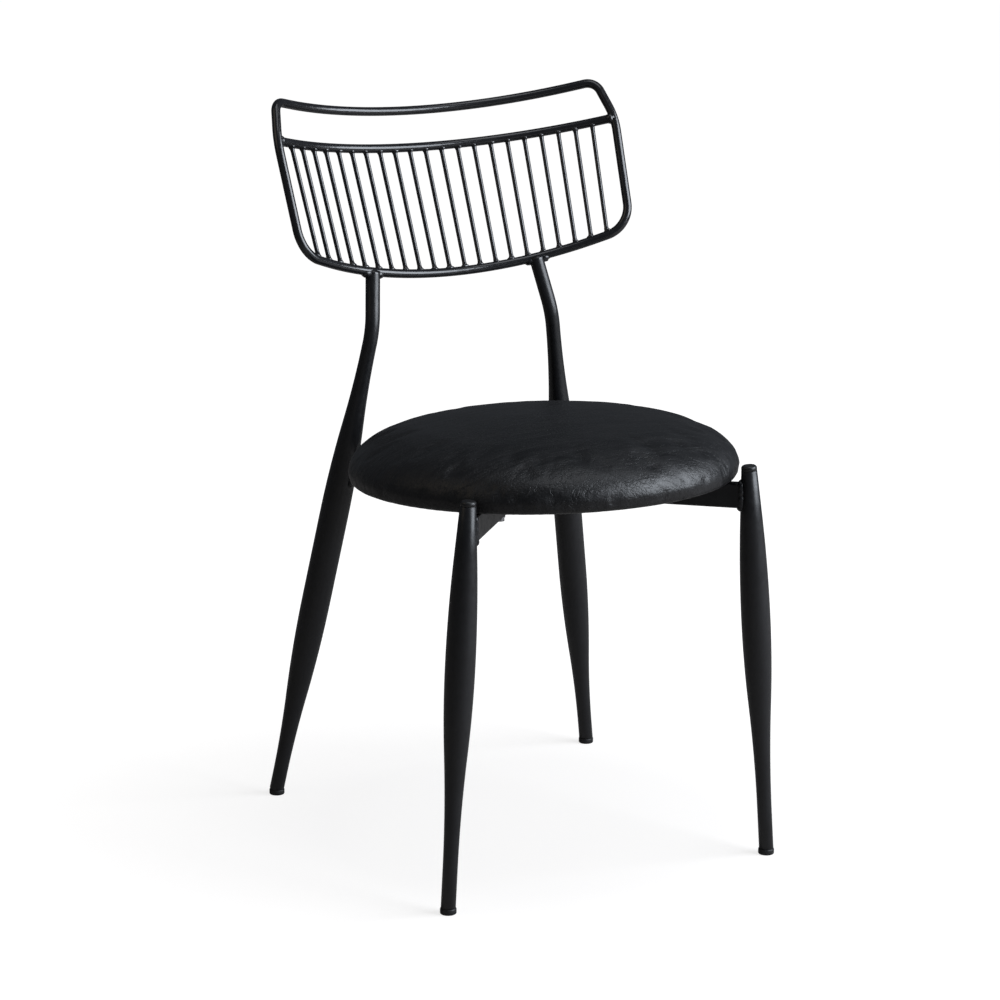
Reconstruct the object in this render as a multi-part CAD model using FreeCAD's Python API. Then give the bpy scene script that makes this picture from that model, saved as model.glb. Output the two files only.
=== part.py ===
import FreeCAD, Part
import math
import os

# Dining chair: two straight front legs, two bent rear legs that carry a curved wire back,
# a round upholstered seat on two crossed tubes.
# Millimetres. X is the sitter's left-to-right seen from the front, the front faces -Y, +Z is up.
# The named places below are measured from the floor point midway between front and rear feet.
# Each solid is then moved along Y so that the origin lies under the middle of the chair's depth.

V = FreeCAD.Vector

# Clearances
fit = 0.1              # between pieces that slide into each other
weld_gap = 0.05        # between a coped end and the wire or tube it is welded to
cover_gap = 0.3        # between the seat's cover and what it is stretched over

# Front legs: straight spindle tubes
front_foot_x = 194.6
front_foot_y = -213.4
front_top_x = 166.4
front_top_y = -207.1
front_top_z = 438.5
front_foot_radius = 7.9
front_foot_length = 50.0
front_waist_at = 172.0
front_belly_radius = 15.75
front_belly_at = 268.0
front_shoulder_length = 112.0
front_tip_radius = 8.5
front_cap_height = 5.5
front_cap_edge = 3.0
front_cap_stem = 6.0

# Rear legs: spindle tubes that end in a bent post
rear_foot_x = 204.3
rear_foot_y = 213.4
rear_bend_x = 112.1
rear_bend_y = 134.5
rear_bend_z = 549.9
rear_bend_radius = 75.0
post_at = 103.7        # arc length from the middle of the bottom rail to the post
rear_foot_radius = 8.2
rear_foot_length = 25.0
rear_waist_at = 125.0
rear_belly_radius = 16.2
rear_belly_from = 240.0
rear_belly_to = 343.0
rear_neck_at = 455.0
post_radius = 8.1
post_taper_end = 544.0
post_rise = 2.0        # how far below the rail's centre the post's rim ends
leg_wall = 1.5

# Foot glides
glide_height = 7.0
glide_radius = 8.7
glide_edge = 1.2
glide_stem = 18.0

# Wire back: everything lies on one cylinder whose axis leans backwards
back_radius = 341.5
back_lean = 25.9
rail_radius = 5.0
mid_rail_y = 231.0
mid_rail_z = 733.4
grip_height = 43.6     # mid rail to top rail, along the lean
panel_height = 148.1   # mid rail to bottom rail in the middle, along the lean
bottom_rise = 17.2     # how far the bottom rail rises towards its corners
mid_drop = 3.5         # how far the mid rail falls towards its ends
top_corner_at = 211.5  # arc lengths from the middle to the loop's corners
side_kink_at = 225.0
bottom_corner_at = 216.0
top_corner_bend = 17.0
side_kink_bend = 90.0
bottom_corner_bend = 34.0
top_reach = 24.0       # straight wire beside the loop's corners
bottom_reach = 40.0
rod_radius = 2.0
rod_count = 21
rod_pitch_top = 19.8
rod_pitch_bottom = 18.9

# Seat: placed on a plane that falls towards the back
seat_y = -57.5
seat_height = 408.0    # height of the seat's plane above the origin's floor point
seat_tilt = 3.0
seat_radius = 211.0
seat_lower_edge = 13.0
seat_band = 1.5
seat_side_bend = 24.0
seat_side_turn = 38.0
seat_shoulder_bend = 76.0
seat_shoulder_turn = 43.5
seat_crown_flat = 60.0  # radius of the level middle of the crown
cover_thickness = 1.2
cover_flap = 30.0
board_inset = 15.0     # from the cushion's widest line to the board's edge
board_thickness = 12.0
board_edge = 2.0
dust_cover_inset = 16.0  # from the board's edge to the dust cover's
dust_cover_thickness = 0.6

# Crossed tubes under the seat
bar_width = 13.0
bar_height = 27.0
bar_corner = 2.0
bar_wall = 1.5

# Seat fasteners
screw_front_inset = 113.0  # from the board's edge to the front screws
screw_rear_inset = 43.5
screw_radius = 2.9
screw_clearance = 0.4
screw_head_radius = 5.0
screw_head_height = 4.0
screw_socket_flats = 4.0
screw_socket_depth = 2.2
screw_end_in_board = 10.0
washer_rim = 1.0       # how far the washer shows round the screw's head
washer_thickness = 1.2
nut_flange_radius = 9.5
nut_flange_thickness = 1.4
nut_barrel_wall = 1.0
nut_barrel_length = 8.5
drill_over = 1.0       # how far a cutter runs past the faces that it cuts


# Helpers
def mirrored(shape):
    """A copy of a shape on the other side of the chair."""
    return shape.mirror(V(0, 0, 0), V(1, 0, 0))


def line(a, b):
    """A straight edge."""
    return Part.makeLine(a, b)


def arc(a, b, c):
    """An arc edge through three points."""
    return Part.Arc(a, b, c).toShape()


def polar(centre, radius, degrees):
    """A point in the XZ plane at an angle from +X."""
    angle = math.radians(degrees)
    return V(centre.x + radius * math.cos(angle), 0, centre.z + radius * math.sin(angle))


def turned(edges, axis_point=V(0, 0, 0), axis=V(0, 0, 1)):
    """A solid turned from a closed outline."""
    face = Part.Face(Part.Wire(edges))
    return face.revolve(axis_point, axis, 360)


def along(shape, start, direction):
    """Carry a shape made on +Z to a start point and a direction."""
    placed = shape.copy()
    turn = FreeCAD.Rotation(V(0, 0, 1), direction)
    placed.Placement = FreeCAD.Placement(start, turn).multiply(placed.Placement)
    return placed


def swell(start, start_radius, middle, end, end_radius):
    """Two arcs that run tangent to the tube's axis at both ends and meet at the middle."""
    middle_radius = start_radius + (end_radius - start_radius) * (middle - start) / (end - start)
    edges = []
    for near, near_radius, sign in ((start, start_radius, 1), (end, end_radius, -1)):
        run = abs(middle - near)
        rise = middle_radius - near_radius
        radius = (run * run + rise * rise) / (2 * rise)
        half = math.atan(rise / run)
        on_arc = V(near_radius + radius * (1 - math.cos(half)), 0, near + sign * radius * math.sin(half))
        tip = V(near_radius, 0, near)
        join = V(middle_radius, 0, middle)
        ends = (tip, on_arc, join) if sign > 0 else (join, on_arc, tip)
        edges.append(arc(*ends))
    return edges


def closed_outline(edges):
    """Close a spindle's outline along its axis."""
    bottom = edges[0].Vertexes[0].Point
    top = edges[-1].Vertexes[-1].Point
    ends = [line(V(0, 0, bottom.z), bottom)]
    back = [line(top, V(0, 0, top.z)), line(V(0, 0, top.z), V(0, 0, bottom.z))]
    return ends + edges + back


def rounded_box(width, height, corner, start, end):
    """A bar along +Y with rounded corners, its top face at z = 0."""
    side = width / 2 - corner
    edges = []
    for x, z, turn in ((side, corner - height, 270), (side, -corner, 0),
                       (-side, -corner, 90), (-side, corner - height, 180)):
        centre = V(x, 0, z)
        points = [polar(centre, corner, turn + step) for step in (0, 45, 90)]
        if edges:
            edges.append(line(edges[-1].Vertexes[-1].Point, points[0]))
        edges.append(arc(*points))
    edges.append(line(edges[-1].Vertexes[-1].Point, edges[0].Vertexes[0].Point))
    face = Part.Face(Part.Wire(edges))
    face.translate(V(0, start, 0))
    return face.extrude(V(0, end - start, 0))


def largest(shape):
    """The biggest solid that a cut leaves."""
    return max(shape.Solids, key=lambda solid: solid.Volume)


def save(name, shape):
    """Move a part to the final origin and write it."""
    moved = shape.copy()
    moved.translate(V(0, -middle_of_depth, 0))
    moved.exportStep("parts/" + name + ".step")
    print(name, len(moved.Solids), "solids, volume", round(moved.Volume))


os.makedirs("parts", exist_ok=True)

# Seat frame: plane, centre and directions
tilt = math.radians(seat_tilt)
seat_centre = V(0, seat_y, seat_height - seat_y * math.tan(tilt))
seat_up = V(0, math.sin(tilt), math.cos(tilt))
seat_place = FreeCAD.Placement(seat_centre, FreeCAD.Rotation(V(1, 0, 0), -seat_tilt))


def on_seat(shape):
    """Carry a shape from the seat's own frame to the chair."""
    placed = shape.copy()
    placed.Placement = seat_place.multiply(placed.Placement)
    return placed


# Back surface: points by arc length from the middle and by height along the lean
lean = math.radians(back_lean)
back_up = V(0, math.sin(lean), math.cos(lean))
back_forward = V(0, -math.cos(lean), math.sin(lean))
back_middle = V(0, mid_rail_y, mid_rail_z)


def on_back(at, height):
    """A point of the back's cylinder; height is counted from the mid rail."""
    angle = at / back_radius
    forward = back_radius * (1 - math.cos(angle))
    return back_middle + V(back_radius * math.sin(angle), 0, 0) + back_up * height + back_forward * forward


# The chair's depth runs from the front of the seat to the back of the top rail
widest = dust_cover_thickness + seat_lower_edge + seat_band
ring_centre = seat_centre + seat_up * widest
front_of_chair = ring_centre.y - seat_radius * math.cos(tilt)
back_of_chair = on_back(0, grip_height).y + rail_radius
middle_of_depth = (front_of_chair + back_of_chair) / 2


# Front legs
front_foot = V(front_foot_x, front_foot_y, 0)
front_top = V(front_top_x, front_top_y, front_top_z)
front_way = front_top - front_foot
front_length = front_way.Length


def front_spindle(inset, start, end):
    """The front leg's turned form on +Z, its surface moved inwards by the inset."""
    foot = front_foot_radius - inset
    belly = front_belly_radius - inset
    tip = front_tip_radius - inset
    cone = end - front_belly_at - front_shoulder_length
    slope = (belly - tip) / (front_shoulder_length / 2 + cone)
    drop = slope * front_shoulder_length / 2
    radius = front_shoulder_length ** 2 / (2 * drop)
    half = front_shoulder_length / 2
    shoulder = V(belly - radius + math.sqrt(radius * radius - half * half), 0, front_belly_at + half)
    neck = V(belly - drop, 0, front_belly_at + front_shoulder_length)
    edges = [line(V(foot, 0, start), V(foot, 0, front_foot_length))]
    edges += swell(front_foot_length, foot, front_waist_at, front_belly_at, belly)
    edges.append(arc(V(belly, 0, front_belly_at), shoulder, neck))
    edges.append(line(neck, V(tip, 0, end)))
    return turned(closed_outline(edges))


front_tube_end = front_length - front_cap_height
floor_side = Part.makeBox(1000, 1000, 100, V(-500, -500, glide_height - 100))
front_outer = along(front_spindle(0, 0, front_tube_end), front_foot, front_way)
front_inner = along(front_spindle(leg_wall, 0, front_tube_end), front_foot, front_way)
front_leg = front_outer.cut(front_inner).cut(floor_side)


def front_cap():
    """Domed plug that closes the front leg's top."""
    stem = front_tip_radius - leg_wall - fit
    dome_top = front_cap_height
    corner = V(front_tip_radius - front_cap_edge, 0, dome_top - front_cap_edge)
    low = -front_cap_stem
    edges = [line(V(0, 0, low), V(stem, 0, low)),
             line(V(stem, 0, low), V(stem, 0, 0)),
             line(V(stem, 0, 0), V(front_tip_radius, 0, 0)),
             line(V(front_tip_radius, 0, 0), polar(corner, front_cap_edge, 0)),
             arc(polar(corner, front_cap_edge, 0), polar(corner, front_cap_edge, 45),
                 polar(corner, front_cap_edge, 90)),
             line(polar(corner, front_cap_edge, 90), V(0, 0, dome_top)),
             line(V(0, 0, dome_top), V(0, 0, low))]
    return turned(edges)


cap_seat = front_foot + front_way * (front_tube_end / front_length)
leg_cap = along(front_cap(), cap_seat, front_way)
save("front_leg_left", mirrored(front_leg))
save("front_leg_right", front_leg)
save("front_leg_caps", Part.makeCompound([mirrored(leg_cap), leg_cap]))


# Back loop, mid rail and rods
def rail_point(curve, at):
    """A point at an arc length from the middle of a rail's arc."""
    middle = (curve.FirstParameter + curve.LastParameter) / 2
    return curve.value(middle + at / curve.Radius)


def rail_arc(middle_height, end_at, end_height):
    """A rail's arc through its middle and its two ends."""
    return Part.ArcOfCircle(on_back(-end_at, end_height), on_back(0, middle_height),
                            on_back(end_at, end_height))


top_rail = rail_arc(grip_height, top_corner_at, grip_height)
mid_rail = rail_arc(0, side_kink_at, -mid_drop)
bottom_rail = rail_arc(-panel_height, bottom_corner_at, bottom_rise - panel_height)


def tangent_end(curve, reach):
    """Where a rail's arc stops, as a length and a point, and the vertex that its straight end reaches."""
    at = (curve.LastParameter - curve.FirstParameter) * curve.Radius / 2 - reach
    stop = rail_point(curve, at)
    away = (stop - curve.Center).normalize()
    onward = curve.Axis.cross(away)
    return at, stop, stop + onward * reach


def bend(before, vertex, after, radius):
    """The arc that rounds a corner of the wire: start, middle and end points."""
    a = (before - vertex).normalize()
    b = (after - vertex).normalize()
    half = a.getAngle(b) / 2
    reach = radius / math.tan(half)
    middle_way = (a + b).normalize()
    to_arc = radius / math.sin(half) - radius
    return vertex + a * reach, vertex + middle_way * to_arc, vertex + b * reach


top_stop_at, top_stop, top_vertex = tangent_end(top_rail, top_reach)
low_stop_at, low_stop, low_vertex = tangent_end(bottom_rail, bottom_reach)
kink_vertex = on_back(side_kink_at, -mid_drop)
top_bend = bend(top_stop, top_vertex, kink_vertex, top_corner_bend)
kink_bend = bend(top_vertex, kink_vertex, low_vertex, side_kink_bend)
low_bend = bend(kink_vertex, low_vertex, low_stop, bottom_corner_bend)


def loop_half():
    """The right half of the outer wire's line, from the middle of the top to the middle of the bottom."""
    top_middle = on_back(0, grip_height)
    low_middle = on_back(0, -panel_height)
    top_half = arc(top_middle, rail_point(top_rail, top_stop_at / 2), top_stop)
    low_half = arc(low_stop, rail_point(bottom_rail, low_stop_at / 2), low_middle)
    return [top_half, line(top_stop, top_bend[0]), arc(*top_bend),
            line(top_bend[2], kink_bend[0]), arc(*kink_bend),
            line(kink_bend[2], low_bend[0]), arc(*low_bend),
            line(low_bend[2], low_stop), low_half]


def round_bar(edge, radius):
    """Round wire along one straight or round edge."""
    start = edge.valueAt(edge.FirstParameter)
    way = edge.tangentAt(edge.FirstParameter)
    if isinstance(edge.Curve, Part.Line):
        return Part.makeCylinder(radius, edge.Length, start, way)
    ring = Part.Face(Part.Wire(Part.makeCircle(radius, start, way)))
    turn = math.degrees(edge.LastParameter - edge.FirstParameter)
    return ring.revolve(edge.Curve.Center, edge.Curve.Axis, turn)


def wire_along(edges, radius):
    """Round wire along a chain of edges, as one solid."""
    pieces = [round_bar(edge, radius) for edge in edges]
    if len(pieces) == 1:
        return pieces[0]
    return pieces[0].multiFuse(pieces[1:]).removeSplitter()


half_frame = wire_along(loop_half(), rail_radius)
back_frame = half_frame.fuse(mirrored(half_frame)).removeSplitter()
half_clear = wire_along(loop_half(), rail_radius + weld_gap)
mid_solid = wire_along([mid_rail.toShape()], rail_radius).cut(half_clear).cut(mirrored(half_clear))
mid_solid = largest(mid_solid)
save("back_frame", back_frame)
save("mid_rail", mid_solid)


def clear_of_rail(way, rail_way):
    """How far from a rail's centre a rod's flat end has to stay."""
    slope = math.asin(abs(way.dot(rail_way)))
    return rail_radius / math.cos(slope) + rod_radius * math.tan(slope) + weld_gap


def rod(index):
    """One rod of the back, between the mid rail and the bottom rail."""
    step = index - (rod_count - 1) / 2
    top = rail_point(mid_rail, step * rod_pitch_top)
    foot = rail_point(bottom_rail, step * rod_pitch_bottom)
    way = (top - foot).normalize()
    top_way = mid_rail.Axis.cross(top - mid_rail.Center).normalize()
    foot_way = bottom_rail.Axis.cross(foot - bottom_rail.Center).normalize()
    start = foot + way * clear_of_rail(way, foot_way)
    end = top - way * clear_of_rail(way, top_way)
    return Part.makeCylinder(rod_radius, (end - start).Length, start, way)


for number in range(rod_count):
    save("back_rod_%02d" % (number + 1), rod(number))


# Rear legs with their posts
rear_foot = V(rear_foot_x, rear_foot_y, 0)
rear_bend = V(rear_bend_x, rear_bend_y, rear_bend_z)
post_top = rail_point(bottom_rail, post_at)
rear_way = rear_bend - rear_foot
post_way = post_top - rear_bend
rear_corner = bend(rear_foot, rear_bend, post_top, rear_bend_radius)


def rear_spindle(inset, start):
    """The rear leg's turned form on +Z up to the bend."""
    foot = rear_foot_radius - inset
    belly = rear_belly_radius - inset
    post = post_radius - inset
    end = (rear_corner[0] - rear_foot).Length
    edges = [line(V(foot, 0, start), V(foot, 0, rear_foot_length))]
    edges += swell(rear_foot_length, foot, rear_waist_at, rear_belly_from, belly)
    edges.append(line(V(belly, 0, rear_belly_from), V(belly, 0, rear_belly_to)))
    edges += swell(rear_belly_to, belly, rear_neck_at, post_taper_end, post)
    edges.append(line(V(post, 0, post_taper_end), V(post, 0, end)))
    return turned(closed_outline(edges))


def rear_form(inset, start):
    """Spindle, bend and post as one solid."""
    spindle = along(rear_spindle(inset, start), rear_foot, rear_way)
    post = wire_along([arc(*rear_corner), line(rear_corner[2], post_top)], post_radius - inset)
    return spindle.fuse(post).removeSplitter()


post_rim = post_top - post_way * (post_rise / post_way.Length)
rail_side = along(Part.makeCylinder(4 * post_radius, 8 * post_radius), post_rim, post_way)
rear_leg = rear_form(0, 0).cut(rear_form(leg_wall, 0)).cut(rail_side).cut(half_clear).cut(floor_side)
rear_leg = largest(rear_leg)
save("rear_leg_left", mirrored(rear_leg))
save("rear_leg_right", rear_leg)


# Foot glides
def glide(tube_radius, foot, way):
    """Plastic foot: a level disc under the tube's end and a stem up inside it."""
    rise = way * (1 / way.z)
    top_centre = foot + rise * glide_height
    centre = V(top_centre.x, top_centre.y, 0)
    disc = Part.makeCylinder(glide_radius, glide_height - glide_edge, centre + V(0, 0, glide_edge))
    foot_edge = Part.makeCone(glide_radius - glide_edge, glide_radius, glide_edge, centre)
    stem_foot = foot + rise * (glide_height - glide_edge)
    stem_radius = tube_radius - leg_wall - fit
    stem = Part.makeCylinder(stem_radius, glide_stem, stem_foot, way)
    stem_tip = Part.makeCone(stem_radius, stem_radius - glide_edge, glide_edge,
                             stem_foot + way * (glide_stem / way.Length), way)
    return disc.multiFuse([foot_edge, stem, stem_tip]).removeSplitter()


front_glide = glide(front_foot_radius, front_foot, front_way)
rear_glide = glide(rear_foot_radius, rear_foot, rear_way)
save("front_foot_glides", Part.makeCompound([mirrored(front_glide), front_glide]))
save("rear_foot_glides", Part.makeCompound([mirrored(rear_glide), rear_glide]))


# Crossed tubes under the seat
def meets_plane(start, end):
    """Where a leg's axis passes the plane of the seat, in the seat's own frame."""
    way = end - start
    share = (seat_centre - start).dot(seat_up) / way.dot(seat_up)
    return seat_place.inverse().multVec(start + way * share)


front_seat = meets_plane(front_foot, front_top)
rear_seat = meets_plane(rear_foot, rear_bend)
bar_way = V(rear_seat.x + front_seat.x, rear_seat.y - front_seat.y, 0)
bar_length = bar_way.Length
bar_angle = -math.degrees(math.atan2(bar_way.x, bar_way.y))
crossing = V(0, front_seat.y + bar_way.y * front_seat.x / bar_way.x, 0)
to_crossing = (crossing - V(-front_seat.x, front_seat.y, 0)).Length
from_crossing = bar_length - to_crossing


def bar_place(angle):
    """From a bar's own frame, with the crossing at its origin, to the seat's frame."""
    return FreeCAD.Placement(crossing, FreeCAD.Rotation(V(0, 0, 1), angle))


def bar_placed(shape, angle):
    """Carry a shape from a bar's own frame to the seat's frame."""
    placed = shape.copy()
    placed.Placement = bar_place(angle).multiply(placed.Placement)
    return placed


board_radius = seat_radius - board_inset
screw_hole_radius = screw_radius + screw_clearance
washer_radius = screw_head_radius + washer_rim
nut_barrel_radius = screw_radius + fit + nut_barrel_wall


def on_ring(way, radius):
    """Where a line from the crossing meets a ring round the seat's centre."""
    along_way = crossing.dot(way)
    return crossing + way * (math.sqrt(along_way ** 2 - crossing.dot(crossing) + radius ** 2) - along_way)


def screw_spots():
    """The four screws, in the seat's frame: on the bars, at set distances inside the board's edge."""
    spots = []
    for angle in (bar_angle, -bar_angle):
        to_rear = bar_place(angle).Rotation.multVec(V(0, 1, 0))
        spots.append(on_ring(-to_rear, board_radius - screw_front_inset))
        spots.append(on_ring(to_rear, board_radius - screw_rear_inset))
    return spots


def bar_tube(angle):
    """Hollow bar between two legs' axes, in the chair's frame."""
    outer = rounded_box(bar_width, bar_height, bar_corner, -to_crossing, from_crossing)
    inner = rounded_box(bar_width - 2 * bar_wall, bar_height - 2 * bar_wall, bar_corner - bar_wall,
                        -to_crossing, from_crossing)
    inner.translate(V(0, 0, -bar_wall))
    return on_seat(bar_placed(outer.cut(inner), angle))


def screw_holes(radius, low, high):
    """Round cutters at the screws, in the seat's frame."""
    return [Part.makeCylinder(radius, high - low, V(spot.x, spot.y, low)) for spot in screw_spots()]


front_solid = along(front_spindle(-weld_gap, 0, front_tube_end), front_foot, front_way)
rear_solid = along(rear_spindle(-weld_gap, 0), rear_foot, rear_way)
leg_clear = [front_solid, mirrored(front_solid), rear_solid, mirrored(rear_solid)]
hole_cutters = screw_holes(screw_hole_radius, -bar_height - drill_over, drill_over)
hole_cutters = [on_seat(cutter) for cutter in hole_cutters]


def fitted(shape):
    """A bar coped to the legs and drilled."""
    for cutter in leg_clear + hole_cutters:
        shape = shape.cut(cutter)
    return shape


through_bar = largest(fitted(bar_tube(bar_angle)))
through_clear = rounded_box(bar_width + 2 * weld_gap, bar_height + 2 * bar_corner, bar_corner,
                            -to_crossing, from_crossing)
through_clear.translate(V(0, 0, bar_corner))
through_clear = on_seat(bar_placed(through_clear, bar_angle))
halves = fitted(bar_tube(-bar_angle).cut(through_clear)).Solids
halves = sorted(halves, key=lambda solid: solid.Volume)[-2:]
halves.sort(key=lambda solid: solid.CenterOfMass.y)
save("seat_bar_through", through_bar)
save("seat_bar_front_half", halves[0])
save("seat_bar_rear_half", halves[1])


# Seat cushion, made in the seat's own frame
dust_cover_radius = board_radius - dust_cover_inset
board_bottom = dust_cover_thickness + cover_thickness
board_top = board_bottom + board_thickness


def cushion_points(inset):
    """Half outline of the cushion, from its lower edge to the level middle of its crown."""
    low_centre = V(seat_radius - seat_lower_edge, 0, dust_cover_thickness + seat_lower_edge)
    side_centre = V(seat_radius - seat_side_bend, 0, widest)
    turn = seat_side_turn
    last = turn + seat_shoulder_turn
    shoulder_centre = polar(side_centre, seat_side_bend - seat_shoulder_bend, turn)
    shoulder = seat_shoulder_bend - inset
    points = [polar(low_centre, seat_lower_edge - inset, angle) for angle in (-90, -50, -20, 0)]
    points += [polar(side_centre, seat_side_bend - inset, share * turn) for share in (0, 0.6)]
    points += [polar(shoulder_centre, shoulder, turn + share * seat_shoulder_turn)
               for share in (0, 0.3, 0.6, 1)]
    slope = math.radians(90 - last)
    crown = points[-1].x / math.sin(slope)
    crown_centre = V(0, 0, points[-1].z - crown * math.cos(slope))
    for x in (0.65 * points[-1].x, seat_crown_flat):
        points.append(V(x, 0, crown_centre.z + math.sqrt(crown * crown - x * x)))
    return points


def turned_points(points):
    """A solid turned from a closed run of points."""
    return turned(Part.makePolygon(points + [points[0]]).Edges)


def cover():
    """Leather cover: crown, sides and the flap that is stapled under the board."""
    flap = dust_cover_radius - cover_flap / 2
    outer = cushion_points(0)
    inner = cushion_points(cover_thickness)
    return turned_points([V(flap, 0, outer[0].z)] + outer + [V(0, 0, outer[-1].z), V(0, 0, inner[-1].z)]
                         + inner[::-1] + [V(flap, 0, inner[0].z)])


def foam():
    """Foam pad that is glued over the board and wraps its edge."""
    outside = cushion_points(cover_thickness + cover_gap)
    inside = board_radius + cover_gap
    return turned_points([V(0, 0, board_top), V(inside, 0, board_top), V(inside, 0, outside[0].z)]
                         + outside + [V(0, 0, outside[-1].z)])


def board():
    """Plywood board with counterbores for the nuts."""
    shape = Part.makeCylinder(board_radius, board_thickness, V(0, 0, board_bottom))
    rim = [edge for edge in shape.Edges if abs(edge.BoundBox.ZLength) < 0.01 and edge.BoundBox.XLength > 10]
    shape = shape.makeChamfer(board_edge, rim)
    for cutter in screw_holes(nut_barrel_radius + fit, board_bottom - drill_over, board_top + drill_over):
        shape = shape.cut(cutter)
    flange_floor = board_top - nut_flange_thickness - fit
    for cutter in screw_holes(nut_flange_radius + fit, flange_floor, board_top + drill_over):
        shape = shape.cut(cutter)
    return shape


def dust_cover():
    """Thin cloth under the board."""
    shape = Part.makeCylinder(dust_cover_radius, dust_cover_thickness)
    for cutter in screw_holes(screw_hole_radius, -drill_over, dust_cover_thickness + drill_over):
        shape = shape.cut(cutter)
    return shape


save("seat_cover", on_seat(cover()))
save("seat_foam", on_seat(foam()))
save("seat_board", on_seat(board()))
save("seat_dust_cover", on_seat(dust_cover()))


# Seat fasteners
def screw(spot):
    """Socket head screw that enters from below."""
    under_head = -bar_height - washer_thickness
    top = board_bottom + screw_end_in_board
    shank = Part.makeCylinder(screw_radius, top - under_head, V(0, 0, under_head))
    head = Part.makeCylinder(screw_head_radius, screw_head_height, V(0, 0, under_head - screw_head_height))
    corner = screw_socket_flats / math.sqrt(3)
    head_face = under_head - screw_head_height
    angles = [math.radians(60 * side) for side in range(7)]
    points = [V(corner * math.cos(angle), corner * math.sin(angle), head_face) for angle in angles]
    socket = Part.Face(Part.makePolygon(points)).extrude(V(0, 0, screw_socket_depth))
    whole = shank.fuse(head).removeSplitter().cut(socket)
    whole.translate(spot)
    return on_seat(whole)


def washer(spot):
    """Flat washer between the head and the bar."""
    base = V(spot.x, spot.y, -bar_height - washer_thickness)
    disc = Part.makeCylinder(washer_radius, washer_thickness, base)
    return on_seat(disc.cut(Part.makeCylinder(screw_hole_radius, washer_thickness, base)))


def nut(spot):
    """Flanged nut let into the board from above."""
    flange_base = board_top - nut_flange_thickness
    flange = Part.makeCylinder(nut_flange_radius, nut_flange_thickness, V(spot.x, spot.y, flange_base))
    barrel = Part.makeCylinder(nut_barrel_radius, nut_barrel_length,
                               V(spot.x, spot.y, flange_base - nut_barrel_length))
    bore = Part.makeCylinder(screw_radius + fit, board_thickness, V(spot.x, spot.y, board_bottom))
    return on_seat(flange.fuse(barrel).removeSplitter().cut(bore))


spots = screw_spots()
save("seat_screws", Part.makeCompound([screw(spot) for spot in spots]))
save("screw_washers", Part.makeCompound([washer(spot) for spot in spots]))
save("flange_nuts", Part.makeCompound([nut(spot) for spot in spots]))

print("middle of depth", round(middle_of_depth, 3))
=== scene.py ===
# %% [markdown]
# # A dining chair with a wire back
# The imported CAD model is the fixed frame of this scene. It is loaded first, and its outer box
# is kept, so that the finished looks can be compared with it at the end.

import math

import bmesh
import bpy
from mathutils import Matrix, Quaternion, Vector, noise


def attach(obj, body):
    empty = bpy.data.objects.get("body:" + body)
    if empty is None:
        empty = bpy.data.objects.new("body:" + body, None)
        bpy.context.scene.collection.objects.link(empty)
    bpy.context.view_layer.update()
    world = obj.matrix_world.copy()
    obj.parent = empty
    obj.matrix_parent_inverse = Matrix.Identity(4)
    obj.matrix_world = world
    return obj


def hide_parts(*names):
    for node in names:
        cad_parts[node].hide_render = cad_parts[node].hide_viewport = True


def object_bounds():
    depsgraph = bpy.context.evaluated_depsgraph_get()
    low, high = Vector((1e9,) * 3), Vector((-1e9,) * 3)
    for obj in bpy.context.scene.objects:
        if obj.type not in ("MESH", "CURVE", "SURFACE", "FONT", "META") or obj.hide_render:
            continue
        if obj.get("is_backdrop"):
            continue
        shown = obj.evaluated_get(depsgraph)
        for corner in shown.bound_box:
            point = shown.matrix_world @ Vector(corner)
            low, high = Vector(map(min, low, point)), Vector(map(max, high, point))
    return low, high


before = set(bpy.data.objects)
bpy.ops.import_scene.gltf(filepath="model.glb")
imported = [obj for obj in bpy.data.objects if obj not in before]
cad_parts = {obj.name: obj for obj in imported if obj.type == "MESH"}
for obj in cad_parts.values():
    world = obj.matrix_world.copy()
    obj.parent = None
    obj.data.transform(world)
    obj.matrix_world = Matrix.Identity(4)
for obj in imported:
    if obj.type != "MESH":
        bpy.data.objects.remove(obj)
cad_low, cad_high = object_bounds()
print("CAD box", [round(v, 4) for v in (*cad_low, *cad_high)])

# %% [markdown]
# ## Sizes
# The drawing gives every size in millimetres, measured from the floor point midway between the
# front and the rear feet. Blender works in metres, so each place goes through one small function
# that scales it and moves it to the frame's origin.

# %% Units and places
MM = 0.001
DEPTH_SHIFT = 6.188


def place(x, y, z):
    """A point of the drawing, in the frame."""
    return Vector((x, y + DEPTH_SHIFT, z)) * MM


def polar(x, z, radius, degrees):
    """A point of a turned outline, as distance from the axis and height."""
    angle = math.radians(degrees)
    return Vector((x + radius * math.cos(angle), 0, z + radius * math.sin(angle)))


FRONT_FOOT = place(194.6, -213.4, 0)
FRONT_TOP = place(166.4, -207.1, 438.5)
REAR_FOOT = place(204.3, 213.4, 0)
REAR_BEND = place(112.1, 134.5, 549.9)
REAR_BEND_RADIUS = 75 * MM
GLIDE_HEIGHT = 7 * MM
print("legs stand", round((REAR_FOOT - FRONT_FOOT).length, 3), "m apart from front to rear")

# %% [markdown]
# ## Making pieces
# Every new piece starts as a bmesh, Blender's editable mesh. A few small helpers finish one: they
# close doubles and turn the faces outwards, make the object and smooth it, and hand it to the
# frame, hiding the CAD nodes that it stands for.

# %% Finishing a piece
def settle(bm, merge=1e-6):
    """Join doubled points and turn every face outwards."""
    bmesh.ops.remove_doubles(bm, verts=bm.verts, dist=merge)
    bmesh.ops.recalc_face_normals(bm, faces=bm.faces)


def mesh_of(name, bm):
    """Move a bmesh into a new mesh."""
    mesh = bpy.data.meshes.new(name)
    bm.to_mesh(mesh)
    bm.free()
    return mesh


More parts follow.
